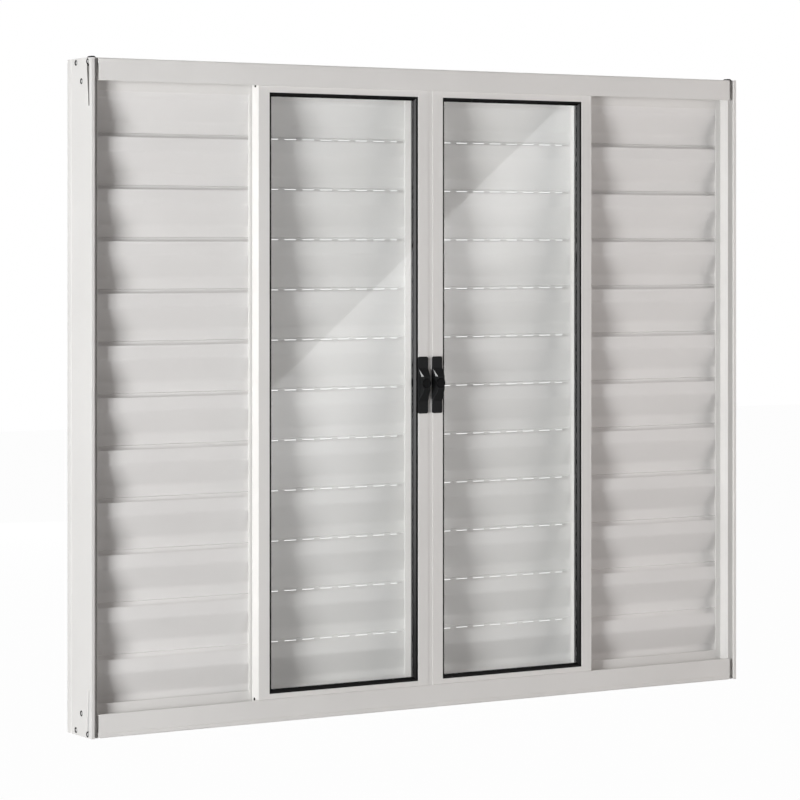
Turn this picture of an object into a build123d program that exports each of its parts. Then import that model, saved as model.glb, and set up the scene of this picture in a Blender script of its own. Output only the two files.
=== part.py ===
"""Six-leaf aluminium window with louvred shutters, all leaves closed.

Two louvred shutters are fixed at the sides, two more with ventilation slots
slide behind them, and two glass sashes slide in front. Everything is drawn
in millimetres from the lower left corner on the room side, with X to the
right, Y towards the outside and Z up. The origin is then moved to the middle
of the sill's underside.
"""

from build123d import *
from math import ceil
import os

os.makedirs("parts", exist_ok=True)

# Overall size of the frame, whose depth follows from the leaves and their tracks
width = 1200.0
height = 1000.0

# Walls of the frame, the shutters and the sashes
frame_wall = 1.4
divider_wall = 1.2
leaf_wall = 1.3

# Depth of the room-side gap, the sashes, the shutters and the gaps between tracks
sash_front = 5.0
sash_depth = 20.0
shutter_depth = 24.0
track_gap = 2.0
back_clearance = 1.6

# Sill and head, which are cut square between the jambs
sill_face = 35.0
head_face = 33.5
face_setback = 1.5
edge_setback = 1.5
face_return = 1.4
corner_web = 8.0
trim_line_height = 6.0
trim_line_width = 1.0
trim_line_depth = 0.7
divider_height = 30.0
rib_height = 12.0
rib_wall = 1.6
port_radius = 3.4
port_bore = 2.1
port_sink = 0.3
drain_width = 25.0
drain_height = 4.0
drain_spots = (1 / 6, 1 / 2, 5 / 6)

# Jambs, in the order of their depth
jamb_box_width = 12.8
lip_width = 5.0
lip_return = 3.5
trim_groove_depth = 7.0
inner_wall_setback = 6.0
recess_before = 7.0
recess_after = 16.0
recess_depth = 0.6
track_lip = 12.0
back_flange = 35.0

# Tapered anchor notches in the outer walls of the jambs, and the strap behind the lower one
notch_end = 9.0
notch_length = 62.0
notch_front = 9.0
notch_wide = 8.2
notch_tip_front = 7.7
notch_tip_wide = 3.6
strap_thickness = 1.5
strap_margin = 4.0
strap_clearance = 0.2

# Seal plugs in the upper ends of the jamb boxes
plug_height = 12.0
plug_rise = 2.6
plug_bevel = 1.8
plug_reach = 13.5
plug_clearance = 0.3

# Shutters
shutter_stile = 22.0
fixed_outer_stile = 19.5
stile_channel = 12.0
fixed_shutter_width = 299.6
jamb_clearance = 0.4
meeting_gap = 0.6
rail_edge = 47.0
rib_clearance = 1.0
head_clearance = 13.6
roller_channel = 12.0

# Slats, drawn downwards from the top edge of each one
slat_pitch = 77.5
slat_wall = 1.2
slat_flange = 6.0
slat_upright = 21.0
slat_hollow = 14.5
slat_slope_end = 55.0
slat_hook = 5.2
slat_ledge_fall = 1.0
slat_lip = 10.0
slat_play = 0.2
slat_tuck = 9.8
slat_end_gap = 0.3
slot_length = 21.5
slot_height = 2.6
slot_drop = 2.6
slot_pitch = 32.3
slot_offset = 1.0

# Glass sashes
sash_overlap = 12.6
sash_stile = 19.3
strip_width = 7.2
strip_clearance = 0.2
sash_park = -5.0
glass_edge_low = 42.7
glass_edge_high = 43.5
pocket_depth = 7.0
glass_thickness = 3.0
glass_setback = 6.0
glass_bite = 6.0
gasket_lip = 1.0
gasket_width = 5.9
gasket_foot = 0.8
gasket_setback = 1.5

# Rollers under the sliding leaves, each in a nylon block that straddles its rib
wheel_radius = 5.0
wheel_width = 4.0
wheel_play = 0.3
block_length = 36.0
block_nose = 2.0
roller_margin = 45.0

# Latches on the meeting stiles of the sashes
latch_width = 18.0
latch_low = 461.0
latch_high = 550.0
latch_plate = 3.0
latch_corner = 3.0
latch_ramp_high = 532.0
latch_ramp_low = 480.0
crown_high = 519.0
crown_low = 499.0
crown_width = 11.8
crown_shift = 3.0
crown_proud = 10.0
knob_height = 508.5
knob_radius = 8.0
knob_shift = 1.1
knob_proud = 12.5
knob_chamfer = 1.0
latch_offset = 2.2


# Places that follow from the sizes above
fixed_front = sash_front + sash_depth + track_gap
sliding_front = fixed_front + shutter_depth + track_gap
depth = sliding_front + shutter_depth + back_clearance + frame_wall
front_divider = fixed_front - track_gap / 2
back_divider = sliding_front - track_gap / 2
jamb_box_end = front_divider + frame_wall / 2
recess_start = back_divider - recess_before
recess_end = back_divider + recess_after
web_inside = frame_wall + recess_depth
leaf_bottom = rib_height + rib_clearance
leaf_top = height - frame_wall - head_clearance
middle = width / 2
fixed_start = web_inside + jamb_clearance
fixed_end = fixed_start + fixed_shutter_width
slat_ledge = slat_pitch - slat_hook
rail_pocket = slat_tuck + slat_play
sash_width = middle - strip_width / 2 - (fixed_end - sash_overlap)


def plate(a, b, c, d):
    """A rectangle from corner (a, b) to corner (c, d)."""
    return Pos((a + c) / 2, (b + d) / 2) * Rectangle(c - a, d - b)


def along_x(section, start, end):
    """Extrudes a section drawn in (depth, height) from one place to another along X."""
    return extrude(Plane.YZ.offset(start) * section, end - start, dir=(1, 0, 0))


def along_z(section, start, end):
    """Extrudes a section drawn in (width, depth) from one height to another."""
    return extrude(Pos(0, 0, start) * section, end - start, dir=(0, 0, 1))


def along_y(section, start, end):
    """Extrudes a section drawn in (width, height) from one depth to another."""
    return extrude(Pos(0, start, 0) * (Plane.XZ * section), end - start, dir=(0, 1, 0))


def block(x0, y0, z0, x1, y1, z1):
    """A rectangular block between two corners."""
    return along_z(plate(x0, y0, x1, y1), z0, z1)


def mirrored(shape):
    """The same shape on the other side of the window's middle."""
    return mirror(shape, about=Plane.YZ.offset(middle))


def save(name, *shapes):
    """Moves the solids of a node to the window's own origin and writes them."""
    solids = [solid for shape in shapes for solid in shape.solids()]
    node = Compound(children=[Pos(-middle, -depth / 2, 0) * solid for solid in solids])
    node.label = name
    export_step(node, f"parts/{name}.step")


# Frame: a sill and a head with three tracks, cut square between two jambs

def track_section(face, ribs):
    """Section of the sill or head in (depth, distance from its outer edge)."""
    back = depth - frame_wall
    inside = face_setback + frame_wall
    section = plate(inside, 0, depth, frame_wall)
    section += plate(face_setback, edge_setback, inside, face)
    section += plate(inside, 0, inside + frame_wall, corner_web)
    section += plate(inside, face - frame_wall, inside + face_return, face)
    section += plate(back, 0, depth, back_flange)
    for place in (front_divider, back_divider):
        section += plate(place - divider_wall / 2, 0, place + divider_wall / 2, divider_height)
    if ribs:
        for place in track_middles():
            section += plate(place - rib_wall / 2, 0, place + rib_wall / 2, rib_height)
    port_height = frame_wall + port_radius - port_sink
    for place in port_places():
        section += Pos(place, port_height) * Circle(port_radius)
    for place in port_places():
        section -= Pos(place, port_height) * Circle(port_bore)
    line = plate(
        face_setback, trim_line_height, face_setback + trim_line_depth, trim_line_height + trim_line_width
    )
    return section - line


def track_middles():
    """Depths of the middles of the glass, fixed and sliding tracks."""
    return (
        sash_front + sash_depth / 2,
        fixed_front + shutter_depth / 2,
        sliding_front + shutter_depth / 2,
    )


def port_places():
    """Depths of the two screw ports, beside the ribs of the glass and the fixed track."""
    return [middle_line - port_bore / 2 for middle_line in track_middles()[:2]]


def jamb_section():
    """Section of the left jamb in (width, depth), with its outer side at zero."""
    groove_floor = trim_groove_depth + frame_wall
    section = plate(0, 0, lip_width, frame_wall)
    section += plate(0, 0, frame_wall, recess_start)
    section += plate(lip_width - frame_wall, 0, lip_width, lip_return)
    section += plate(0, trim_groove_depth, jamb_box_width, groove_floor)
    section += plate(
        jamb_box_width - frame_wall, inner_wall_setback, jamb_box_width, jamb_box_end
    )
    section += plate(0, recess_start - frame_wall, web_inside, recess_start)
    section += plate(recess_depth, recess_start, web_inside, recess_end)
    section += plate(0, recess_end, web_inside, recess_end + frame_wall)
    section += plate(0, recess_end, frame_wall, depth)
    section += plate(0, jamb_box_end - frame_wall, jamb_box_width, jamb_box_end)
    section += plate(
        web_inside - frame_wall / 2,
        back_divider - divider_wall / 2,
        track_lip,
        back_divider + divider_wall / 2,
    )
    section += plate(0, depth - frame_wall, back_flange, depth)
    return section


def jamb():
    """Left jamb over the full height, with an anchor notch near each end."""
    tip = notch_end + notch_length
    notch = Polygon(
        (notch_front, notch_end),
        (notch_front + notch_wide, notch_end),
        (notch_tip_front + notch_tip_wide, tip),
        (notch_tip_front, tip),
        align=None,
    )
    lower = along_x(notch, -frame_wall, frame_wall)
    upper = mirror(lower, about=Plane.XY.offset(height / 2))
    return along_z(jamb_section(), 0, height) - lower - upper


def between_jambs(member):
    """Cuts a sill or head to fit round both jambs and over their boxes."""
    corner = block(0, 0, 0, jamb_box_width, jamb_box_end, height)
    upright = along_z(jamb_section(), 0, height)
    for cutter in (corner, mirrored(corner), upright, mirrored(upright)):
        member -= cutter
    return member


def sill():
    """Sill with a rib in each track and drain slots towards the outside."""
    member = along_x(track_section(sill_face, True), web_inside, width - web_inside)
    for spot in drain_spots:
        start = width * spot - drain_width / 2
        member -= block(
            start,
            back_divider - divider_wall,
            frame_wall,
            start + drain_width,
            depth + 1,
            frame_wall + drain_height,
        )
    return between_jambs(member)


def head():
    """Head, the sill's section turned over and without its ribs."""
    member = along_x(track_section(head_face, False), web_inside, width - web_inside)
    turned = mirror(member, about=Plane.XY.offset(height / 2))
    return between_jambs(turned)


def strap():
    """Flat anchor strap behind the lower notch of the left jamb."""
    return block(
        frame_wall,
        trim_groove_depth + frame_wall + strap_clearance,
        strap_margin,
        frame_wall + strap_thickness,
        notch_front + notch_wide + strap_clearance,
        notch_end + notch_length + strap_margin,
    )


def seal_plug():
    """Soft plug in the upper end of the left jamb's box, with a low crown above it."""
    left = frame_wall + strap_thickness + plug_clearance
    right = jamb_box_width - frame_wall - plug_clearance
    near = trim_groove_depth + frame_wall + plug_clearance
    plug = block(
        left, near, height - plug_height, right, near + plug_reach, height + plug_rise
    )
    top_edges = plug.edges().group_by(Axis.Z)[-1]
    return chamfer(top_edges, plug_bevel)


# Shutters: stiles with a channel for the slats' ends, and rails let into the stiles

def leaf_stile_section(x0, stile, front, leaf_depth, channel, inward):
    """Section of a stile: a hollow, and a channel that faces left (-1) or right (+1)."""
    back = front + leaf_depth
    section = plate(x0, front, x0 + stile, back)
    hollow_width = stile - channel - 2 * leaf_wall
    if inward > 0:
        hollow_start = x0 + leaf_wall
        channel_start = x0 + stile - channel
    else:
        hollow_start = x0 + channel + leaf_wall
        channel_start = x0
    for start, span in ((hollow_start, hollow_width), (channel_start, channel)):
        section -= plate(start, front + leaf_wall, start + span, back - leaf_wall)
    return section


def rail_section(front, leaf_depth, low, high, pocket):
    """Section of a bottom rail: a roller channel below, a hollow, and a pocket above."""
    inner_front = front + leaf_wall
    inner_back = front + leaf_depth - leaf_wall
    section = plate(front, low, front + leaf_depth, high)
    openings = (
        (low, low + roller_channel),
        (low + roller_channel + leaf_wall, high - pocket - leaf_wall),
        (high - pocket, high),
    )
    for start, end in openings:
        section -= plate(inner_front, start, inner_back, end)
    return section


def rail_pair(front, leaf_depth, bottom, top, edges, pocket, reach, stiles):
    """Bottom and top rails between two places, with their webs let into the stiles."""
    low_edge, high_edge = edges
    start, end = reach
    lower = rail_section(front, leaf_depth, bottom, low_edge, pocket)
    upper = rail_section(front, leaf_depth, -top, -high_edge, pocket)
    rails = (along_x(lower, start, end), mirror(along_x(upper, start, end), about=Plane.XY))
    for rail in rails:
        for stile in stiles:
            rail -= stile
        yield rail


def slat_line(front):
    """Outer line of a slat from the flange at its top to its lip, in (depth, height)."""
    face = front + leaf_wall
    deep = face + slat_hollow
    lip = slat_lip_depth(front)
    return Polyline(
        (face + slat_flange, 0),
        (face, 0),
        (face, -slat_upright),
        (deep, -slat_slope_end),
        (deep, slat_ledge_fall - slat_ledge),
        (lip, -slat_ledge),
        (lip, -slat_ledge - slat_lip),
    )


def slat_lip_depth(front):
    """Depth of a slat's lip, which hangs behind the flange of the slat below."""
    return front + leaf_wall + slat_flange + slat_play


def slat_section(front):
    """Sheet of even thickness behind the slat's outer line."""
    return make_face(offset(slat_line(front), slat_wall, side=Side.LEFT, kind=Kind.INTERSECTION))


def slots(front, start, end):
    """Ventilation slots in the lip of a slat, in a row over the width in view."""
    lip = slat_lip_depth(front)
    level = -slat_ledge - slot_drop
    count = round((end - start) / slot_pitch)
    first = (start + end - (count - 1) * slot_pitch) / 2 + slot_offset
    for index in range(count):
        place = first + index * slot_pitch
        yield block(
            place - slot_length / 2,
            lip - slat_wall,
            level - slot_height / 2,
            place + slot_length / 2,
            lip + 2 * slat_wall,
            level + slot_height / 2,
        )


def slats(front, start, end, slotted):
    """Slats of one shutter between its stiles' lips, the last one cut off at the rail."""
    reach = stile_channel - slat_end_gap
    slat = along_x(slat_section(front), start - reach, end + reach)
    if slotted:
        for slot in slots(front, start, end):
            slat -= slot
    low = rail_edge - slat_tuck
    high = height - rail_edge + slat_tuck
    clear = block(start - reach, 0, low, end + reach, depth, high)
    count = ceil((high - low - slat_lip) / slat_pitch)
    return [(Pos(0, 0, high - index * slat_pitch) * slat) & clear for index in range(count)]


def shutter(front, x0, x1, stile_a, stile_b, bottom, slotted):
    """A louvred shutter between two places: its stiles, its rails and its slats."""
    sections = (
        leaf_stile_section(x0, stile_a, front, shutter_depth, stile_channel, 1),
        leaf_stile_section(x1 - stile_b, stile_b, front, shutter_depth, stile_channel, -1),
    )
    stiles = [along_z(section, bottom, leaf_top) for section in sections]
    start = x0 + stile_a
    end = x1 - stile_b
    rails = rail_pair(
        front,
        shutter_depth,
        bottom,
        leaf_top,
        (rail_edge, height - rail_edge),
        rail_pocket,
        (start - stile_channel, end + stile_channel),
        stiles,
    )
    return *stiles, *rails, slats(front, start, end, slotted)


def fixed_shutter():
    """Left fixed shutter, let into the jamb and standing on the middle rib."""
    return shutter(
        fixed_front, fixed_start, fixed_end, fixed_outer_stile, shutter_stile, rib_height, False
    )


def sliding_shutter():
    """Left sliding shutter, closed, with its outer stile behind the fixed one's."""
    start = fixed_end - shutter_stile
    end = middle - meeting_gap / 2
    return shutter(sliding_front, start, end, shutter_stile, shutter_stile, leaf_bottom, True)


# Glass sashes: slim hollow frames with a glazing pocket all round

def sash_opening(x0):
    """Clear glazing opening of a sash: its left, right, lower and upper edges."""
    return (
        x0 + sash_stile,
        x0 + sash_width - sash_stile,
        glass_edge_low,
        height - glass_edge_high,
    )


def gasket_profile(wall_face, glass_face):
    """Section of a gasket strip, in (distance into the opening, depth)."""
    foot = gasket_foot if glass_face > wall_face else -gasket_foot
    back = gasket_setback - pocket_depth
    return (
        (back, wall_face),
        (gasket_lip, wall_face),
        (gasket_width, glass_face - foot),
        (gasket_width, glass_face),
        (back, glass_face),
    )


def gasket_strips(opening, wall_face, glass_face):
    """Four mitred gasket strips round the opening, between a sash wall and the glass."""
    left, right, low, high = opening
    points = gasket_profile(wall_face, glass_face)
    reach = pocket_depth
    strips = []
    for flip in (False, True):
        upright = [(right - u if flip else left + u, y) for u, y in points]
        level = [(y, high - u if flip else low + u) for u, y in points]
        side = along_z(Polygon(*upright, align=None), low - reach, high + reach)
        edge = along_x(Polygon(*level, align=None), left - reach, right + reach)
        strips.append(side & mitre_prism(opening, flip, True))
        strips.append(edge & mitre_prism(opening, flip, False))
    return strips


def mitre_prism(opening, flip, upright):
    """Wedge through the depth that cuts one gasket strip at 45 degrees at both ends."""
    left, right, low, high = opening
    reach = pocket_depth
    inset = 2 * gasket_width
    if upright:
        outer = right + reach if flip else left - reach
        inner = right - inset if flip else left + inset
        corners = (
            (outer, low - reach),
            (inner, low + inset),
            (inner, high - inset),
            (outer, high + reach),
        )
    else:
        outer = high + reach if flip else low - reach
        inner = high - inset if flip else low + inset
        corners = (
            (left - reach, outer),
            (left + inset, inner),
            (right - inset, inner),
            (right + reach, outer),
        )
    return along_y(Polygon(*corners, align=None), 0, depth)


def sash(x0):
    """A glass sash from its left edge: stiles, rails, pane and gasket."""
    inner = x0 + sash_width - sash_stile
    sections = (
        leaf_stile_section(x0, sash_stile, sash_front, sash_depth, pocket_depth, 1),
        leaf_stile_section(inner, sash_stile, sash_front, sash_depth, pocket_depth, -1),
    )
    stiles = [along_z(section, leaf_bottom, leaf_top) for section in sections]
    opening = sash_opening(x0)
    left, right, low, high = opening
    rails = rail_pair(
        sash_front,
        sash_depth,
        leaf_bottom,
        leaf_top,
        (low, high),
        pocket_depth,
        (left - pocket_depth, right + pocket_depth),
        stiles,
    )
    glass_front = sash_front + glass_setback
    glass_back = glass_front + glass_thickness
    pane = block(
        left - glass_bite,
        glass_front,
        low - glass_bite,
        right + glass_bite,
        glass_back,
        high + glass_bite,
    )
    strips = gasket_strips(opening, sash_front + leaf_wall, glass_front)
    strips += gasket_strips(opening, sash_front + sash_depth - leaf_wall, glass_back)
    return *stiles, *rails, pane, strips


def meeting_strip(x0):
    """Hollow strip on the right sash that closes the joint between the two sashes."""
    start = x0 + strip_clearance
    end = x0 + strip_width
    front = sash_front + leaf_wall / 2
    back = sash_front + sash_depth
    section = plate(start, front, end, back)
    section -= plate(start + leaf_wall, front + leaf_wall, end - leaf_wall, back - leaf_wall)
    return along_z(section, leaf_bottom, leaf_top)


# Rollers and latches

def roller(x, track):
    """Wheel on a rib, and the block round it that is held between a rail's walls."""
    centre = track_middles()[track]
    leaf = sash_depth if track == 0 else shutter_depth
    half = leaf / 2 - leaf_wall
    cheek = wheel_width / 2 + wheel_play
    well_top = rib_height + 2 * wheel_radius + wheel_play
    section = plate(centre - half, leaf_bottom, centre + half, leaf_bottom + roller_channel)
    section += plate(
        centre - 2 * cheek, rib_height - block_nose, centre + 2 * cheek, leaf_bottom
    )
    section -= plate(centre - cheek, rib_height - block_nose, centre + cheek, well_top)
    carrier = along_x(section, x - block_length / 2, x + block_length / 2)
    wheel = along_y(
        Pos(x, rib_height + wheel_radius) * Circle(wheel_radius),
        centre - wheel_width / 2,
        centre + wheel_width / 2,
    )
    return carrier, wheel


def rollers():
    """Two rollers under each sliding leaf."""
    pieces = []
    first = fixed_end - shutter_stile + roller_margin
    last = middle - meeting_gap / 2 - roller_margin
    for x in (first, last):
        for piece in roller(x, 2):
            pieces += [piece, mirrored(piece)]
    for x0 in sash_places():
        for x in (x0 + roller_margin, x0 + sash_width - roller_margin):
            pieces += roller(x, 0)
    return pieces


def sash_places():
    """Left edges of the two parked glass sashes."""
    centre = middle + sash_park
    return (centre - strip_width / 2 - sash_width, centre + strip_width / 2)


def latch_body(x):
    """Latch housing: a round-cornered plate with a raised middle of four sloping faces."""
    face = sash_front - latch_plate
    crown = sash_front - crown_proud
    outline = Pos(x, (latch_low + latch_high) / 2) * RectangleRounded(
        latch_width, latch_high - latch_low, latch_corner
    )
    profile = Polygon(
        (face, latch_ramp_low),
        (crown, crown_low),
        (crown, crown_high),
        (face, latch_ramp_high),
        align=None,
    )
    plan = Polygon(
        (x - latch_width / 2, face),
        (x + latch_width / 2, face),
        (x + crown_shift + crown_width / 2, crown),
        (x + crown_shift - crown_width / 2, crown),
        align=None,
    )
    ridge = along_x(profile, x - latch_width / 2, x + latch_width / 2)
    ridge &= along_z(plan, latch_ramp_low, latch_ramp_high)
    return along_y(outline, face, sash_front) + ridge


def latch_knob(x):
    """Round thumb knob on the latch, with a chamfered end."""
    length = knob_proud - crown_proud
    knob = Cylinder(knob_radius, length, align=(Align.CENTER, Align.CENTER, Align.MIN))
    knob = chamfer(knob.edges().group_by(Axis.Z)[-1], knob_chamfer)
    return Pos(x + knob_shift, sash_front - crown_proud, knob_height) * Rot(90, 0, 0) * knob


def main():
    left_jamb = jamb()
    save("frame_left_jamb", left_jamb)
    save("frame_right_jamb", mirrored(left_jamb))
    save("frame_sill", sill())
    save("frame_head", head())
    save("left_jamb_anchors", strap())
    save("right_jamb_anchors", mirrored(strap()))
    save("jamb_seal_plugs", seal_plug(), mirrored(seal_plug()))

    for kind, make in (("fixed", fixed_shutter), ("sliding", sliding_shutter)):
        outer, inner, bottom_rail, top_rail, slat_stack = make()
        inner_name = "inner_stile" if kind == "fixed" else "meeting_stile"
        for side, place in (("left", lambda shape: shape), ("right", mirrored)):
            leaf = f"{side}_{kind}_shutter"
            save(f"{leaf}_outer_stile", place(outer))
            save(f"{leaf}_{inner_name}", place(inner))
            save(f"{leaf}_bottom_rail", place(bottom_rail))
            save(f"{leaf}_top_rail", place(top_rail))
            save(f"{leaf}_slats", *[place(piece) for piece in slat_stack])

    left_place, right_place = sash_places()
    for side, x0 in (("left", left_place), ("right", right_place)):
        left, right, bottom_rail, top_rail, pane, strips = sash(x0)
        outer, inner = (left, right) if side == "left" else (right, left)
        save(f"{side}_sash_outer_stile", outer)
        save(f"{side}_sash_meeting_stile", inner)
        save(f"{side}_sash_bottom_rail", bottom_rail)
        save(f"{side}_sash_top_rail", top_rail)
        save(f"{side}_sash_glass", pane)
        save(f"{side}_sash_gasket", *strips)
    save("sash_meeting_strip", meeting_strip(left_place + sash_width))
    save("leaf_rollers", *rollers())

    latch_places = (
        left_place + sash_width - sash_stile / 2 - latch_offset,
        right_place + sash_stile / 2 - latch_offset,
    )
    for side, x in zip(("left", "right"), latch_places):
        save(f"{side}_latch_housing", latch_body(x))
        save(f"{side}_latch_knob", latch_knob(x))


main()
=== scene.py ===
"""White aluminium window with two glass sashes in front of four louvred shutters."""

from math import copysign, pi, radians

import bmesh
import bpy
from mathutils import Matrix, Vector


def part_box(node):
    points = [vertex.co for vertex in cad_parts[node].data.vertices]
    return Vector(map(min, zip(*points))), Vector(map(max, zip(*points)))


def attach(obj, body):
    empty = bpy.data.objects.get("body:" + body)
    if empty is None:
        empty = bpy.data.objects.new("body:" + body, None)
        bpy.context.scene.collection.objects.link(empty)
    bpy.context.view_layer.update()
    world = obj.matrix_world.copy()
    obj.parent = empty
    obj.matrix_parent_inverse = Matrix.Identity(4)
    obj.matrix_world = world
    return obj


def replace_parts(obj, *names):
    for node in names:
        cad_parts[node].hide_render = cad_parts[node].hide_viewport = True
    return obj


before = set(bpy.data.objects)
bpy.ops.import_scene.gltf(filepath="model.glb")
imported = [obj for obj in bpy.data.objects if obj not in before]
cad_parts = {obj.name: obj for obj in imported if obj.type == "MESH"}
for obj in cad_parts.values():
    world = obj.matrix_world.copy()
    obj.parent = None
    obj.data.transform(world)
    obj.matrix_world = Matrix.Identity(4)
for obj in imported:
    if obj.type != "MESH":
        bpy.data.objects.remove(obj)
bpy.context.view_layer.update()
scene = bpy.context.scene


# Camera. It stands level, left of the window and a little above its middle, and the
# view is shifted down instead of tilted, so that all uprights stay upright.
photo_width = 800
focal_length_in_pixels = 3121
horizon_row = 247.4
camera_place = (-2.667, -4.143, 0.721)
camera_turn = 32.38

camera = bpy.data.objects.new("camera", bpy.data.cameras.new("camera"))
scene.collection.objects.link(camera)
camera.location = camera_place
camera.rotation_euler = (radians(90), 0, radians(-camera_turn))
camera.data.sensor_width = 36
camera.data.lens = 36 * focal_length_in_pixels / photo_width
camera.data.shift_y = (horizon_row - photo_width / 2) / photo_width
scene.camera = camera
scene.view_settings.view_transform = "Standard"


# Studio. A tall soft lamp stands on the left, a broad, weak and slightly warm one on the
# right and another behind, over a pale floor, and a dim world fills the rest. A large glowing
# card, which is no lamp and is seen only in reflections, paints a reflection into the panes
# that is brightest just below a slanted edge.
lamp_aim = (-0.2, 0, 0.5)
key_place = (-3.72, -1.97, 0.50)
key_size = (1.0, 1.5)
key_power = 190
fill_place = (1.9, -1.3, 0.55)
fill_size = (2.0, 1.5)
fill_power = 22
fill_warmth = (1.0, 0.93, 0.90)
back_place = (0.7, 3.3, 0.7)
back_size = (2.2, 2.2)
back_power = 60
sky_strength = 0.02
floor_size = 14
floor_pale = (0.66, 0.66, 0.66, 1)
floor_white_share = 0.98
card_depth = -2.54
card_corners = ((0.3, 2.1), (3.2, 2.1), (3.2, -1.2), (0.3, -1.2))
card_edge_slope = 0.824
card_edge_start = -0.587
card_fade_start = -0.8
card_fade_length = 1.2
card_strength = 4.6
card_tones = ((0.17, 0.475), (0.29, 0.55), (0.42, 0.675), (0.5, 0.9), (0.667, 1.0), (0.67, 0.55))


def unseen_stage(name, mesh):
    """Adds a stage object that isn't part of the window."""
    thing = bpy.data.objects.new(name, mesh)
    scene.collection.objects.link(thing)
    return thing


def seen_directly(nodes, links):
    """One for rays that look at the backdrop straight, in a reflection or through glass."""
    path = nodes.new("ShaderNodeLightPath")
    either = nodes.new("ShaderNodeMath")
    either.operation = "MAXIMUM"
    links.new(path.outputs["Is Camera Ray"], either.inputs[0])
    links.new(path.outputs["Is Glossy Ray"], either.inputs[1])
    any_of = nodes.new("ShaderNodeMath")
    any_of.operation = "MAXIMUM"
    links.new(either.outputs[0], any_of.inputs[0])
    links.new(path.outputs["Is Transmission Ray"], any_of.inputs[1])
    return any_of.outputs[0]


world = bpy.data.worlds.new("studio")
world.use_nodes = True
scene.world = world
sky_nodes, sky_links = world.node_tree.nodes, world.node_tree.links
sky_nodes.clear()
sky_light = sky_nodes.new("ShaderNodeBackground")
sky_light.inputs["Strength"].default_value = sky_strength
sky_seen = sky_nodes.new("ShaderNodeBackground")
sky_mix = sky_nodes.new("ShaderNodeMixShader")
sky_out = sky_nodes.new("ShaderNodeOutputWorld")
for sky in (sky_light, sky_seen):
    sky.inputs["Color"].default_value = (1, 1, 1, 1)
sky_links.new(seen_directly(sky_nodes, sky_links), sky_mix.inputs[0])
sky_links.new(sky_light.outputs[0], sky_mix.inputs[1])
sky_links.new(sky_seen.outputs[0], sky_mix.inputs[2])
sky_links.new(sky_mix.outputs[0], sky_out.inputs["Surface"])


def soft_lamp(name, place, size, power):
    """Adds a rectangular area lamp, of a given width and height, that faces the window."""
    lamp = bpy.data.objects.new(name, bpy.data.lights.new(name, "AREA"))
    scene.collection.objects.link(lamp)
    lamp.data.shape = "RECTANGLE"
    lamp.data.size, lamp.data.size_y = size
    lamp.data.energy = power
    lamp.location = place
    lamp.rotation_euler = (Vector(lamp_aim) - lamp.location).to_track_quat("-Z", "Y").to_euler()
    lamp.visible_camera = False
    return lamp


soft_lamp("key_lamp", key_place, key_size, key_power)
fill_lamp = soft_lamp("fill_lamp", fill_place, fill_size, fill_power)
fill_lamp.data.color = fill_warmth
fill_lamp.visible_glossy = False
soft_lamp("back_lamp", back_place, back_size, back_power)

floor_mesh = bpy.data.meshes.new("floor")
floor_form = bmesh.new()
bmesh.ops.create_grid(floor_form, x_segments=1, y_segments=1, size=floor_size / 2)
floor_form.to_mesh(floor_mesh)
floor_form.free()
floor = unseen_stage("floor", floor_mesh)
floor.visible_glossy = False
floor_paint = bpy.data.materials.new("pale_floor")
floor_paint.use_nodes = True
floor_nodes, floor_links = floor_paint.node_tree.nodes, floor_paint.node_tree.links
floor_nodes.clear()
floor_matte = floor_nodes.new("ShaderNodeBsdfDiffuse")
floor_matte.inputs["Color"].default_value = floor_pale
floor_white = floor_nodes.new("ShaderNodeEmission")
floor_mix = floor_nodes.new("ShaderNodeMixShader")
floor_share = floor_nodes.new("ShaderNodeMath")
floor_share.operation = "MULTIPLY"
floor_share.inputs[1].default_value = floor_white_share
floor_out = floor_nodes.new("ShaderNodeOutputMaterial")
floor_links.new(seen_directly(floor_nodes, floor_links), floor_share.inputs[0])
floor_links.new(floor_share.outputs[0], floor_mix.inputs[0])
floor_links.new(floor_matte.outputs[0], floor_mix.inputs[1])
floor_links.new(floor_white.outputs[0], floor_mix.inputs[2])
floor_links.new(floor_mix.outputs[0], floor_out.inputs["Surface"])
floor_mesh.materials.append(floor_paint)

# The card is a painted reflection: it glows, lights nothing and shows only in the panes.
card_mesh = bpy.data.meshes.new("card")
card_form = bmesh.new()
card_form.faces.new([card_form.verts.new((x, card_depth, z)) for x, z in card_corners])
card_form.to_mesh(card_mesh)
card_form.free()
card = unseen_stage("card", card_mesh)
card_light = bpy.data.materials.new("card_light")
card_light.use_nodes = True
card_nodes, card_links = card_light.node_tree.nodes, card_light.node_tree.links
card_nodes.clear()
card_spot = card_nodes.new("ShaderNodeTexCoord")
card_split = card_nodes.new("ShaderNodeSeparateXYZ")
card_edge = card_nodes.new("ShaderNodeMath")
card_edge.operation = "MULTIPLY_ADD"
card_edge.inputs[1].default_value = -card_edge_slope
card_above = card_nodes.new("ShaderNodeMapRange")
card_above.inputs["From Min"].default_value = card_edge_start + card_fade_start
card_above.inputs["From Max"].default_value = (
    card_edge_start + card_fade_start + card_fade_length
)
card_fade = card_nodes.new("ShaderNodeValToRGB")
card_stops = card_fade.color_ramp.elements
while len(card_stops) < len(card_tones):
    card_stops.new(0.5)
for stop, (place, tone) in zip(card_stops, card_tones):
    stop.position = place
    stop.color = (tone, tone, tone, 1)
card_glow = card_nodes.new("ShaderNodeEmission")
card_glow.inputs["Strength"].default_value = card_strength
card_out = card_nodes.new("ShaderNodeOutputMaterial")
card_links.new(card_spot.outputs["Object"], card_split.inputs[0])
card_links.new(card_split.outputs["X"], card_edge.inputs[0])
card_links.new(card_split.outputs["Z"], card_edge.inputs[2])
card_links.new(card_edge.outputs[0], card_above.inputs["Value"])
card_links.new(card_above.outputs["Result"], card_fade.inputs[0])
card_links.new(card_fade.outputs["Color"], card_glow.inputs["Color"])
card_links.new(card_glow.outputs[0], card_out.inputs["Surface"])
card_mesh.materials.append(card_light)
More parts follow.
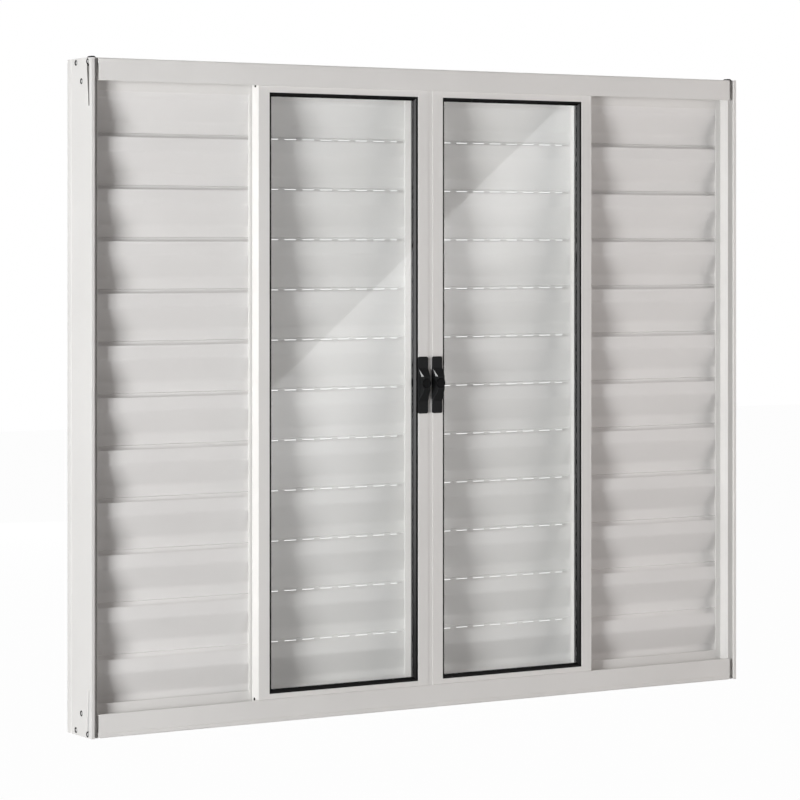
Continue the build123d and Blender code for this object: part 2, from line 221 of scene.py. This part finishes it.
for sees in ("camera", "diffuse", "shadow", "transmission", "volume_scatter"):
    setattr(card, f"visible_{sees}", False)


# Frame. The sill, head and two jambs are thin-walled aluminium extrusions, cut square,
# screwed together through ports and powder-coated white with a satin finish.
paint_white = (0.80, 0.79, 0.775)
paint_shade = (0.765, 0.755, 0.74)
# The sill and the left jamb take darker copies of the same white, which paint shade onto them;
# the left jamb's outer side faces the key lamp.
sill_white_painted_shade = (0.77, 0.76, 0.745)
sill_dark_painted_shade = (0.735, 0.725, 0.71)
jamb_white_painted_shade = (0.72, 0.71, 0.695)
jamb_dark_painted_shade = (0.69, 0.68, 0.665)
paint_roughness = 0.42
paint_roughness_swing = 0.05
paint_gloss = 0.15
paint_tone_scale = 5.0
paint_tone_detail = 3.0
paint_peel_scale = 900
paint_peel_detail = 1.0
paint_peel_depth = 0.00004


def finish_start(name):
    """A new material with a Principled shader, its nodes, its links and its coordinates."""
    finish = bpy.data.materials.new(name)
    finish.use_nodes = True
    nodes, links = finish.node_tree.nodes, finish.node_tree.links
    shader = nodes["Principled BSDF"]
    place = nodes.new("ShaderNodeTexCoord")
    return finish, nodes, links, shader, place.outputs["Object"]


def cloud(nodes, links, place, scale, detail=2.0, stretch=(1, 1, 1)):
    """Soft noise of a given scale over the object's own coordinates."""
    turn = nodes.new("ShaderNodeMapping")
    turn.inputs["Scale"].default_value = stretch
    noise = nodes.new("ShaderNodeTexNoise")
    noise.inputs["Scale"].default_value = scale
    noise.inputs["Detail"].default_value = detail
    links.new(place, turn.inputs["Vector"])
    links.new(turn.outputs[0], noise.inputs["Vector"])
    return noise.outputs["Fac"]


def two_tones(nodes, links, amount, dark, light, low=0.35, high=0.65):
    """Colour that runs from one tone to another as a pattern's value rises."""
    ramp = nodes.new("ShaderNodeValToRGB")
    ramp.color_ramp.elements[0].position = low
    ramp.color_ramp.elements[1].position = high
    ramp.color_ramp.elements[0].color = (*dark, 1)
    ramp.color_ramp.elements[1].color = (*light, 1)
    links.new(amount, ramp.inputs[0])
    return ramp.outputs["Color"]


def relief(nodes, links, amount, depth):
    """Bump of a given depth in metres from a pattern's value."""
    bump = nodes.new("ShaderNodeBump")
    bump.inputs["Strength"].default_value = 1.0
    bump.inputs["Distance"].default_value = depth
    links.new(amount, bump.inputs["Height"])
    return bump.outputs["Normal"]


def spread(nodes, links, amount, low, high):
    """Maps a pattern's value from nought and one to a low and a high figure."""
    span = nodes.new("ShaderNodeMapRange")
    span.inputs["To Min"].default_value = low
    span.inputs["To Max"].default_value = high
    links.new(amount, span.inputs["Value"])
    return span.outputs["Result"]


def white_paint(name, light=paint_white, dark=paint_shade, roughness=paint_roughness):
    """Satin powder coat: almost even white, with the fine peel of baked powder."""
    finish, nodes, links, shader, place = finish_start(name)
    tone = cloud(nodes, links, place, paint_tone_scale, paint_tone_detail)
    links.new(two_tones(nodes, links, tone, dark, light), shader.inputs["Base Color"])
    low, high = roughness - paint_roughness_swing, roughness + paint_roughness_swing
    links.new(spread(nodes, links, tone, low, high), shader.inputs["Roughness"])
    shader.inputs["Specular IOR Level"].default_value = paint_gloss
    peel = cloud(nodes, links, place, paint_peel_scale, paint_peel_detail)
    links.new(relief(nodes, links, peel, paint_peel_depth), shader.inputs["Normal"])
    return finish


merge_distance = 0.000001
flat_angle = radians(1)
corner_radius = 0.0003
corner_segments = 2
corner_angle = radians(40)


def merged_copy(node):
    """An open mesh of a piece of the frame, with its triangles joined into whole faces."""
    form = bmesh.new()
    form.from_mesh(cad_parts[node].data)
    bmesh.ops.remove_doubles(form, verts=form.verts, dist=merge_distance)
    for face in form.faces:
        face.smooth = False
    bmesh.ops.dissolve_limit(
        form, angle_limit=flat_angle, verts=form.verts, edges=form.edges, delimit=set()
    )
    return form


def corners_between(form, low, high):
    """Edges whose two faces meet at an angle between two limits."""
    return [edge for edge in form.edges if low < edge.calc_face_angle(0) < high]


def round_off(form, edges, radius, segments):
    """Rounds edges off by a radius."""
    bmesh.ops.bevel(
        form,
        geom=edges,
        offset=radius,
        offset_type="OFFSET",
        segments=segments,
        profile=0.5,
        affect="EDGES",
        material=-1,
        clamp_overlap=True,
    )


def new_piece(name, form, finish):
    """Turns an open mesh into a piece of the window and gives it its finish."""
    mesh = bpy.data.meshes.new(name)
    form.to_mesh(mesh)
    form.free()
    mesh.materials.append(finish)
    piece = bpy.data.objects.new(name, mesh)
    scene.collection.objects.link(piece)
    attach(piece, "root")
    return piece


def softened(node, finish, radius=corner_radius, segments=corner_segments):
    """Puts a copy with rounded corners in the place of a piece of the frame."""
    form = merged_copy(node)
    round_off(form, corners_between(form, corner_angle, pi), radius, segments)
    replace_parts(new_piece(f"{node}_finished", form, finish), node)


def dress(node, finish):
    """Gives a piece of the frame its finish and leaves its shape."""
    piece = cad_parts[node]
    piece.data.materials.clear()
    piece.data.materials.append(finish)


# The darker copies on the sill and the left jamb are painted shade; the head and the right jamb
# keep the frame white.
frame_paint = white_paint("white_frame_paint")
sill_paint_painted_shade = white_paint("white_sill_paint_painted_shade", sill_white_painted_shade, sill_dark_painted_shade)
jamb_paint_painted_shade = white_paint("white_jamb_paint_painted_shade", jamb_white_painted_shade, jamb_dark_painted_shade)
for member, paint in (
    ("frame_sill", sill_paint_painted_shade),
    ("frame_head", frame_paint),
    ("frame_left_jamb", jamb_paint_painted_shade),
    ("frame_right_jamb", frame_paint),
):
    softened(member, paint)


# Anchor straps. Strips of zinc-plated steel lie behind the tapered notches in the jambs
# and are bent out into the mortar when the window is built in.
zinc_light = (0.72, 0.72, 0.71)
zinc_dark = (0.58, 0.58, 0.58)
zinc_roughness = (0.38, 0.55)
zinc_grain_scale = 300
zinc_grain_detail = 4.0
zinc_grain_stretch = (1, 1, 0.06)


def zinc_plate(name):
    """Dull plated steel with a grain along the strip."""
    finish, nodes, links, shader, place = finish_start(name)
    grain = cloud(nodes, links, place, zinc_grain_scale, zinc_grain_detail, zinc_grain_stretch)
    links.new(two_tones(nodes, links, grain, zinc_dark, zinc_light), shader.inputs["Base Color"])
    links.new(spread(nodes, links, grain, *zinc_roughness), shader.inputs["Roughness"])
    shader.inputs["Metallic"].default_value = 1.0
    return finish


zinc = zinc_plate("zinc_plate")
for strap in ("left_jamb_anchors", "right_jamb_anchors"):
    dress(strap, zinc)


# Seal plugs. Soft black rubber plugs are pushed into the open upper ends of the two jambs
# and keep rain and insects out of the hollow boxes.
rubber_black = (0.002, 0.002, 0.002)
rubber_worn = (0.006, 0.006, 0.006)
rubber_gloss = 0.9
rubber_ior = 1.1
rubber_roughness_swing = 0.06
rubber_grain_scale = 600
rubber_grain_detail = 2.0
rubber_grain_depth = 0.00003
plug_roughness = 0.5


def black_rubber(name, roughness):
    """Moulded rubber: nearly black, with a fine grain that breaks its sheen."""
    finish, nodes, links, shader, place = finish_start(name)
    grain = cloud(nodes, links, place, rubber_grain_scale, rubber_grain_detail)
    links.new(
        two_tones(nodes, links, grain, rubber_black, rubber_worn), shader.inputs["Base Color"]
    )
    low, high = roughness - rubber_roughness_swing, roughness + rubber_roughness_swing
    links.new(spread(nodes, links, grain, low, high), shader.inputs["Roughness"])
    links.new(relief(nodes, links, grain, rubber_grain_depth), shader.inputs["Normal"])
    shader.inputs["Specular IOR Level"].default_value = rubber_gloss
    shader.inputs["IOR"].default_value = rubber_ior
    return finish


plug_rubber = black_rubber("plug_rubber", plug_roughness)
dress("jamb_seal_plugs", plug_rubber)


# Wall screws. Zinc-plated pan-head screws with a cross recess sit in round holes in the
# outer sides of the jambs and run into the ports of sill and head. A black ring shaped as a
# sealing washer lies round each head, and its black is painted shade for the gap there.
screw_spots = (
    (0.013, 0.007),
    (-0.026, 0.0055),
    (-0.006, 0.034),
    (0.013, 0.994),
    (-0.026, 0.9945),
    (-0.006, 0.966),
)
screw_radius = 0.0024
screw_height = 0.0013
screw_facets = 28
screw_rim_angle = radians(60)
screw_rim_radius = 0.0003
screw_rim_segments = 2
shade_washer_radius = 0.0044
shade_washer_height = 0.0017
shade_washer_floor = 0.0002
shade_washer_clearance = 0.0004
screw_seat_radius = 0.0044
screw_seat_depth = 0.0020
screw_cross = (0.0036, 0.0009, 0.0006)
side_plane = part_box("frame_left_jamb")[0][0]
recess_depth = 0.0006
recess_start = 0.005
cut_overshoot = 0.001


def joined(forms):
    """Joins several open meshes into one."""
    whole = bmesh.new()
    for form in forms:
        part = bpy.data.meshes.new("part")
        form.to_mesh(part)
        form.free()
        whole.from_mesh(part)
        bpy.data.meshes.remove(part)
    return whole


def round_bar(radius, near, far, y, z, facets=screw_facets):
    """A closed round bar along X between two places."""
    form = bmesh.new()
    bmesh.ops.create_cone(
        form, cap_ends=True, segments=facets, radius1=radius, radius2=radius, depth=far - near
    )
    bmesh.ops.rotate(form, verts=form.verts, matrix=Matrix.Rotation(pi / 2, 3, "Y"))
    bmesh.ops.translate(form, verts=form.verts, vec=((near + far) / 2, y, z))
    return form


def square_bar(size, x, y, z):
    """A closed block of a given size round a place."""
    form = bmesh.new()
    bmesh.ops.create_cube(form, size=1)
    bmesh.ops.scale(form, verts=form.verts, vec=size)
    bmesh.ops.translate(form, verts=form.verts, vec=(x, y, z))
    return form


def cut(piece, form):
    """Takes an open mesh out of a piece."""
    mesh = bpy.data.meshes.new("cutter")
    form.to_mesh(mesh)
    form.free()
    cutter = bpy.data.objects.new("cutter", mesh)
    scene.collection.objects.link(cutter)
    hollow = piece.modifiers.new("cut", "BOOLEAN")
    hollow.operation = "DIFFERENCE"
    hollow.solver = "EXACT"
    hollow.object = cutter
    whole = piece.evaluated_get(bpy.context.evaluated_depsgraph_get())
    piece.data = bpy.data.meshes.new_from_object(whole)
    piece.modifiers.clear()
    bpy.data.objects.remove(cutter)


for side, out in (("left", -1), ("right", 1)):
    seats, heads, shade_washers, hollows, slots_long, slots_tall = [], [], [], [], [], []
    for y, z in screw_spots:
        plane = side_plane + (recess_depth if y > recess_start else 0)
        seat_floor = plane + screw_seat_depth
        head_top = seat_floor - screw_height
        shade_washer_top = seat_floor - shade_washer_height
        seats.append(round_bar(screw_seat_radius, plane - cut_overshoot, seat_floor, y, z))
        heads.append(round_bar(screw_radius, head_top, seat_floor, y, z))
        shade_washers.append(round_bar(shade_washer_radius, shade_washer_top, seat_floor, y, z))
        near, far = shade_washer_top - cut_overshoot, seat_floor - shade_washer_floor
        hollows.append(round_bar(screw_radius + shade_washer_clearance, near, far, y, z))
        long, wide, deep = screw_cross
        slots_long.append(square_bar((2 * deep, long, wide), head_top, y, z))
        slots_tall.append(square_bar((2 * deep, wide, long), head_top, y, z))
    batches = [
        joined(batch) for batch in (seats, heads, shade_washers, hollows, slots_long, slots_tall)
    ]
    if out > 0:
        for batch in batches:
            bmesh.ops.scale(batch, verts=batch.verts, vec=(-1, 1, 1))
            bmesh.ops.reverse_faces(batch, faces=batch.faces)
    seat_form, head_form, shade_washer_form, hollow_form, long_form, tall_form = batches
    rims = corners_between(head_form, screw_rim_angle, pi)
    round_off(head_form, rims, screw_rim_radius, screw_rim_segments)
    # These black washers paint the shade of the gap round each screw head.
    rings = new_piece(f"{side}_screw_shade_washers", shade_washer_form, plug_rubber)
    cut(rings, hollow_form)
    screws = new_piece(f"{side}_wall_screws", head_form, zinc)
    cut(screws, long_form)
    cut(screws, tall_form)
    cut(bpy.data.objects[f"frame_{side}_jamb_finished"], seat_form)


# Fixed shutters. Channel stiles and hollow rails of the frame's own white aluminium hold
# a stack of rolled slats, each hooked behind the top edge of the one below it.
# Stiles and rails take a slightly darker copy of the white, which paints shade onto their sides
# that face the key lamp.
leaf_white_painted_shade = (0.79, 0.78, 0.765)
leaf_dark_painted_shade = (0.755, 0.745, 0.73)
# The fixed slats take a lighter copy of the white, which paints light onto them.
slat_white_painted_light = (0.81, 0.80, 0.79)
slat_dark_painted_light = (0.78, 0.77, 0.76)
leaf_roughness = 0.46
slat_bend_radius = 0.0028
slat_bend_segments = 4
slat_bend_angles = (radians(15), radians(35))
slat_wall = 0.0012
flange_depth = 0.006
lip_depth = 0.0062
lip_setback = 0.006
flange_fall = 0.0022
place_tolerance = 0.00005
leaf_paint_painted_shade = white_paint("white_leaf_paint_painted_shade", leaf_white_painted_shade, leaf_dark_painted_shade, leaf_roughness)
slat_paint_painted_light = white_paint("white_slat_paint_painted_light", slat_white_painted_light, slat_dark_painted_light, leaf_roughness)


def set_back(form, front):
    """Moves the slats' lips back and lets their flanges fall backwards to meet them."""
    for vert in form.verts:
        depth = vert.co.y - front
        past_lip = min(abs(depth - lip_depth), abs(depth - lip_depth - slat_wall))
        if abs(depth - flange_depth) < place_tolerance:
            vert.co.y += lip_setback
            vert.co.z -= flange_fall
        elif past_lip < place_tolerance:
            vert.co.y += lip_setback


def rolled_slats(node, paint, slotted):
    """Copies a stack of slats, with their long bends rounded as a roller forms them."""
    form = merged_copy(node)
    set_back(form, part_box(node)[0][1])
    if slotted:
        narrow_slots(form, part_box(node)[1][2])
    bends = corners_between(form, *slat_bend_angles)
    round_off(form, bends, slat_bend_radius, slat_bend_segments)
    round_off(form, corners_between(form, corner_angle, pi), corner_radius, corner_segments)
    piece = new_piece(f"{node}_finished", form, paint)
    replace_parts(piece, node)


for side in ("left", "right"):
    for part in ("outer_stile", "inner_stile", "bottom_rail", "top_rail"):
        softened(f"{side}_fixed_shutter_{part}", leaf_paint_painted_shade)
    rolled_slats(f"{side}_fixed_shutter_slats", slat_paint_painted_light, False)


# Sliding shutters. They are built like the fixed ones and run in the track behind them,
# with a row of ventilation slots punched along each slat's hooked lip.
# The sliding shutters behind the glass take a lighter copy of the white, which paints light onto
# them.
inner_white_painted_light = (0.85, 0.845, 0.835)
inner_dark_painted_light = (0.82, 0.815, 0.80)
slat_pitch = 0.0775
slot_middle = 0.0749
slot_height = 0.0026
slot_narrowing = 0.0007
inner_paint_painted_light = white_paint("white_inner_paint_painted_light", inner_white_painted_light, inner_dark_painted_light, leaf_roughness)


def narrow_slots(form, stack_top):
    """Brings the two long edges of each slot together, as they are in the photograph."""
    for vert in form.verts:
        from_middle = (stack_top - vert.co.z) % slat_pitch - slot_middle
        if abs(abs(from_middle) - slot_height / 2) < place_tolerance:
            vert.co.z += copysign(slot_narrowing, from_middle)


for side in ("left", "right"):
    for part in ("outer_stile", "meeting_stile", "bottom_rail", "top_rail"):
        softened(f"{side}_sliding_shutter_{part}", inner_paint_painted_light)
    rolled_slats(f"{side}_sliding_shutter_slats", inner_paint_painted_light, True)


# Glass sashes. Slim white frames with a glazing pocket all round run in the room-side
# track; the right one carries a hollow strip that covers the joint between the two.
# The sash members take the darker copy of the white, which paints shade onto them.
for side in ("left", "right"):
    for part in ("outer_stile", "meeting_stile", "bottom_rail", "top_rail"):
        softened(f"{side}_sash_{part}", leaf_paint_painted_shade)
softened("sash_meeting_strip", leaf_paint_painted_shade)


# Sash screws. Small black screws near the corners of the outer stiles hold the stiles and
# rails of each sash together.
sash_screw_spots = ((-0.0254, 0.966), (-0.0225, 0.0352))
sash_screw_radius = 0.0022
sash_screw_proud = 0.0006
sash_screw_facets = 20
sash_screw_rim_radius = 0.0002

for side, out in (("left", -1), ("right", 1)):
    low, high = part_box(f"{side}_sash_outer_stile")
    face = low[0] if out < 0 else high[0]
    heads = []
    for y, z in sash_screw_spots:
        near, far = sorted((face + out * sash_screw_proud, face - out * sash_screw_proud))
        heads.append(round_bar(sash_screw_radius, near, far, y, z, sash_screw_facets))
    head_form = joined(heads)
    rims = corners_between(head_form, screw_rim_angle, pi)
    round_off(head_form, rims, sash_screw_rim_radius, screw_rim_segments)
    new_piece(f"{side}_sash_screws", head_form, plug_rubber)


# Gaskets. Black rubber strips with a sloping face, mitred at the corners, hold each pane on
# both sides. The section, which is carried round the four sides, gives the place towards
# the middle of the pane and the share of the way to the glass.
gasket_roughness = 0.2
gasket_rubber = black_rubber("gasket_rubber", gasket_roughness)
gasket_hidden = 0.0055
gasket_section = (
    (-0.0055, 0.0),
    (0.0010, 0.0),
    (0.0029, 0.15),
    (0.0059, 0.85),
    (0.0059, 1.0),
    (-0.0055, 1.0),
)


def add_gasket_ring(form, box, start, stop):
    """Adds a closed ring between the inside of a sash wall and a face of the glass."""
    (low_x, _, low_z), (high_x, _, high_z) = box
    loops = []
    for place, share in gasket_section:
        inset = place + gasket_hidden
        depth = start + share * (stop - start)
        left, right, low, high = low_x + inset, high_x - inset, low_z + inset, high_z - inset
        corners = ((left, low), (right, low), (right, high), (left, high))
        loops.append([form.verts.new((x, depth, z)) for x, z in corners])
    for loop, after in zip(loops, loops[1:] + loops[:1]):
        for one, two in ((0, 1), (1, 2), (2, 3), (3, 0)):
            form.faces.new((loop[one], loop[two], after[two], after[one]))


for side in ("left", "right"):
    node = f"{side}_sash_gasket"
    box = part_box(node)
    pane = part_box(f"{side}_sash_glass")
    form = bmesh.new()
    add_gasket_ring(form, box, box[0][1], pane[0][1])
    add_gasket_ring(form, box, box[1][1], pane[1][1])
    bmesh.ops.recalc_face_normals(form, faces=form.faces)
    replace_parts(new_piece(f"{node}_finished", form, gasket_rubber), node)


# Panes. Single sheets of clear float glass, 3 mm thick, each held in its sash by the
# gaskets on both sides.
glass_tint = (0.994, 0.997, 0.996, 1)
glass_ior = 1.42
glass_wave_scale = 4.0
glass_wave_detail = 1.0
glass_wave_depth = 0.00002


def clear_glass(name):
    """Thin clear glass: light goes straight through, and its two faces reflect."""
    finish = bpy.data.materials.new(name)
    finish.use_nodes = True
    nodes, links = finish.node_tree.nodes, finish.node_tree.links
    nodes.clear()
    through = nodes.new("ShaderNodeBsdfTransparent")
    through.inputs["Color"].default_value = glass_tint
    mirror = nodes.new("ShaderNodeBsdfAnisotropic")
    mirror.inputs["Roughness"].default_value = 0.0
    place = nodes.new("ShaderNodeTexCoord").outputs["Object"]
    wave = cloud(nodes, links, place, glass_wave_scale, glass_wave_detail)
    links.new(relief(nodes, links, wave, glass_wave_depth), mirror.inputs["Normal"])
    share = nodes.new("ShaderNodeFresnel")
    facing = nodes.new("ShaderNodeNewGeometry")
    ior = spread(nodes, links, facing.outputs["Backfacing"], glass_ior, 1 / glass_ior)
    links.new(ior, share.inputs["IOR"])
    mix = nodes.new("ShaderNodeMixShader")
    out = nodes.new("ShaderNodeOutputMaterial")
    links.new(share.outputs[0], mix.inputs[0])
    links.new(through.outputs[0], mix.inputs[1])
    links.new(mirror.outputs[0], mix.inputs[2])
    links.new(mix.outputs[0], out.inputs["Surface"])
    return finish


pane_glass = clear_glass("pane_glass")
for side in ("left", "right"):
    dress(f"{side}_sash_glass", pane_glass)


# Roller blocks. Moulded nylon blocks in the bottom rails of the sashes and the sliding
# shutters carry the wheels that run on the ribs of the sill.
nylon_light = (0.70, 0.69, 0.65)
nylon_dark = (0.62, 0.61, 0.57)
nylon_roughness = (0.5, 0.65)
nylon_haze_scale = 60
nylon_haze_detail = 3.0


def moulded_nylon(name):
    """Natural nylon: matt, a little cloudy."""
    finish, nodes, links, shader, place = finish_start(name)
    haze = cloud(nodes, links, place, nylon_haze_scale, nylon_haze_detail)
    links.new(two_tones(nodes, links, haze, nylon_dark, nylon_light), shader.inputs["Base Color"])
    links.new(spread(nodes, links, haze, *nylon_roughness), shader.inputs["Roughness"])
    return finish


dress("leaf_rollers", moulded_nylon("moulded_nylon"))


# Latches. A black moulded plastic housing with a round thumb knob sits on each meeting
# stile at mid-height, and its grip is hollowed on the thumb's side.
knob_black = (0.002, 0.002, 0.0022)
knob_grey = (0.004, 0.004, 0.0045)
housing_black = (0.011, 0.0115, 0.012)
housing_grey = (0.015, 0.0155, 0.016)
latch_gloss = 0.6
latch_ior = 1.1
latch_roughness = 0.3
latch_roughness_swing = 0.04
latch_grain_scale = 1500
latch_grain_detail = 2.0
latch_grain_depth = 0.000004
polish_gloss = 0.5
polish_ior = 1.27
polish_roughness = 0.2


def black_plastic(name, dark, light, roughness, gloss, ior):
    """Black plastic with a fine spark-eroded texture."""
    finish, nodes, links, shader, place = finish_start(name)
    grain = cloud(nodes, links, place, latch_grain_scale, latch_grain_detail)
    links.new(two_tones(nodes, links, grain, dark, light), shader.inputs["Base Color"])
    low, high = roughness - latch_roughness_swing, roughness + latch_roughness_swing
    links.new(spread(nodes, links, grain, low, high), shader.inputs["Roughness"])
    links.new(relief(nodes, links, grain, latch_grain_depth), shader.inputs["Normal"])
    shader.inputs["Specular IOR Level"].default_value = gloss
    shader.inputs["IOR"].default_value = ior
    return finish


latch_radius = 0.0005
latch_segments = 3
grip_hollow = 0.0018
grip_fall = 0.009
grip_facing = Vector((-0.745, -0.67, 0))
grip_facing_share = 0.99


def hollow_grip(form):
    """Hollows the thumb side of a housing below a small flat, which is polished by use."""
    grip = next(face for face in form.faces if face.normal.dot(grip_facing) > grip_facing_share)
    low, crown_low, crown_high, high = sorted(grip.verts, key=lambda vert: vert.co.z)
    halfway = (high.co + crown_high.co) / 2
    corner = form.verts.new((halfway.x, halfway.y, crown_high.co.z))
    middle = form.verts.new(corner.co - grip.normal * grip_hollow - Vector((0, 0, grip_fall)))
    bmesh.ops.delete(form, geom=[grip], context="FACES_ONLY")
    form.faces.new((high, corner, crown_high)).material_index = 1
    ring = (high, corner, crown_high, crown_low, low)
    for one, two in zip(ring, ring[1:] + ring[:1]):
        form.faces.new((one, two, middle))
    bmesh.ops.recalc_face_normals(form, faces=form.faces)


knob_plastic = black_plastic(
    "knob_plastic", knob_black, knob_grey, latch_roughness, latch_gloss, latch_ior
)
housing_plastic = black_plastic(
    "housing_plastic", housing_black, housing_grey, latch_roughness, latch_gloss, latch_ior
)
polished = black_plastic(
    "polished_plastic", knob_black, knob_grey, polish_roughness, polish_gloss, polish_ior
)
for side in ("left", "right"):
    housing = merged_copy(f"{side}_latch_housing")
    hollow_grip(housing)
    sharp = corners_between(housing, corner_angle, pi)
    round_off(housing, sharp, latch_radius, latch_segments)
    piece = new_piece(f"{side}_latch_housing_finished", housing, housing_plastic)
    piece.data.materials.append(polished)
    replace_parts(piece, f"{side}_latch_housing")
    softened(f"{side}_latch_knob", knob_plastic, latch_radius, latch_segments)
